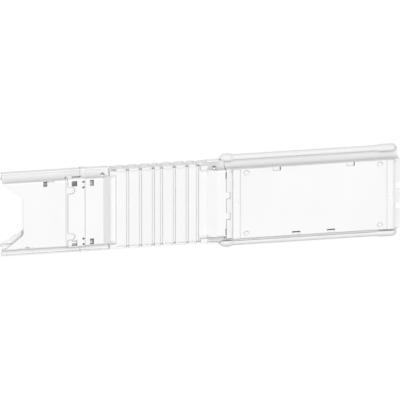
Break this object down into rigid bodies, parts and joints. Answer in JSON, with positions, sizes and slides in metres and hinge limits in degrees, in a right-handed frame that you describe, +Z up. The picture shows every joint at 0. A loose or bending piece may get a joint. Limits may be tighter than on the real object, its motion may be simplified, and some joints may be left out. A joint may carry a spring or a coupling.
{
  "type": "flexible busway elbow",
  "caption": "White flexible busway elbow, straight: an open male casing end, a chain of pivoting links and a joint box.",
  "frame": {"origin": "middle of the footprint, on the surface the elbow lies on", "axes": "+X along the elbow from the male end to the joint box, +Y across the casing, +Z up through the front cover"},
  "size_m": [0.635, 0.1528, 0.0514],
  "materials": {
    "casing_enamel": "satin",
    "link_enamel": "satin",
    "rail_plastic": "satin",
    "pin_steel": "satin",
    "insulator": "matte",
    "conductor_tin": "satin"
  },
  "bodies": {
    "joint_box": {"box_bar_1": "conductor_tin", "box_bar_2": "conductor_tin", "box_bar_3": "conductor_tin", "box_bar_4": "conductor_tin", "box_carrier": "insulator", "cover_back": "casing_enamel", "cover_front": "casing_enamel", "jaw_back": "insulator", "jaw_front": "insulator", "pin_8_bottom": "pin_steel", "pin_8_top": "pin_steel", "rail_bottom": "rail_plastic", "rail_top": "rail_plastic", "right_adapter_back": "casing_enamel", "right_adapter_front": "casing_enamel", "right_ring": "link_enamel"},
    "male_end": {"left_adapter_back": "casing_enamel", "left_adapter_front": "casing_enamel", "left_ring": "link_enamel", "male_bar_1": "conductor_tin", "male_bar_2": "conductor_tin", "male_bar_3": "conductor_tin", "male_bar_4": "conductor_tin", "male_carrier": "insulator", "male_casing_back": "casing_enamel", "male_casing_front": "casing_enamel", "saddle_back": "casing_enamel", "saddle_front": "casing_enamel", "seam_clip_bottom": "casing_enamel", "seam_clip_top": "casing_enamel"},
    "link_1": {"link_1": "link_enamel", "pin_1_top": "pin_steel", "pin_1_bottom": "pin_steel"},
    "link_2": {"link_2": "link_enamel", "pin_2_top": "pin_steel", "pin_2_bottom": "pin_steel"},
    "link_3": {"link_3": "link_enamel", "pin_3_top": "pin_steel", "pin_3_bottom": "pin_steel"},
    "link_4": {"link_4": "link_enamel", "pin_4_top": "pin_steel", "pin_4_bottom": "pin_steel"},
    "link_5": {"link_5": "link_enamel", "pin_5_top": "pin_steel", "pin_5_bottom": "pin_steel"},
    "link_6": {"link_6": "link_enamel", "pin_6_top": "pin_steel", "pin_6_bottom": "pin_steel"},
    "link_7": {"link_7": "link_enamel", "pin_7_top": "pin_steel", "pin_7_bottom": "pin_steel"}
  },
  "joints": [
    {"name": "hinge_8", "type": "hinge", "parent": "joint_box", "child": "link_7", "pos_m": [-0.0052, 0, 0.0257], "axis": [0, 1, 0], "range_deg": [-11.25, 11.25]},
    {"name": "hinge_7", "type": "hinge", "parent": "link_7", "child": "link_6", "pos_m": [-0.0218, 0, 0.0257], "axis": [0, 1, 0], "range_deg": [-11.25, 11.25]},
    {"name": "hinge_6", "type": "hinge", "parent": "link_6", "child": "link_5", "pos_m": [-0.0424, 0, 0.0257], "axis": [0, 1, 0], "range_deg": [-11.25, 11.25]},
    {"name": "hinge_5", "type": "hinge", "parent": "link_5", "child": "link_4", "pos_m": [-0.063, 0, 0.0257], "axis": [0, 1, 0], "range_deg": [-11.25, 11.25]},
    {"name": "hinge_4", "type": "hinge", "parent": "link_4", "child": "link_3", "pos_m": [-0.0761, 0, 0.0257], "axis": [0, 1, 0], "range_deg": [-11.25, 11.25]},
    {"name": "hinge_3", "type": "hinge", "parent": "link_3", "child": "link_2", "pos_m": [-0.0967, 0, 0.0257], "axis": [0, 1, 0], "range_deg": [-11.25, 11.25]},
    {"name": "hinge_2", "type": "hinge", "parent": "link_2", "child": "link_1", "pos_m": [-0.1173, 0, 0.0257], "axis": [0, 1, 0], "range_deg": [-11.25, 11.25]},
    {"name": "hinge_1", "type": "hinge", "parent": "link_1", "child": "male_end", "pos_m": [-0.1379, 0, 0.0257], "axis": [0, 1, 0], "range_deg": [-11.25, 11.25]}
  ]
}
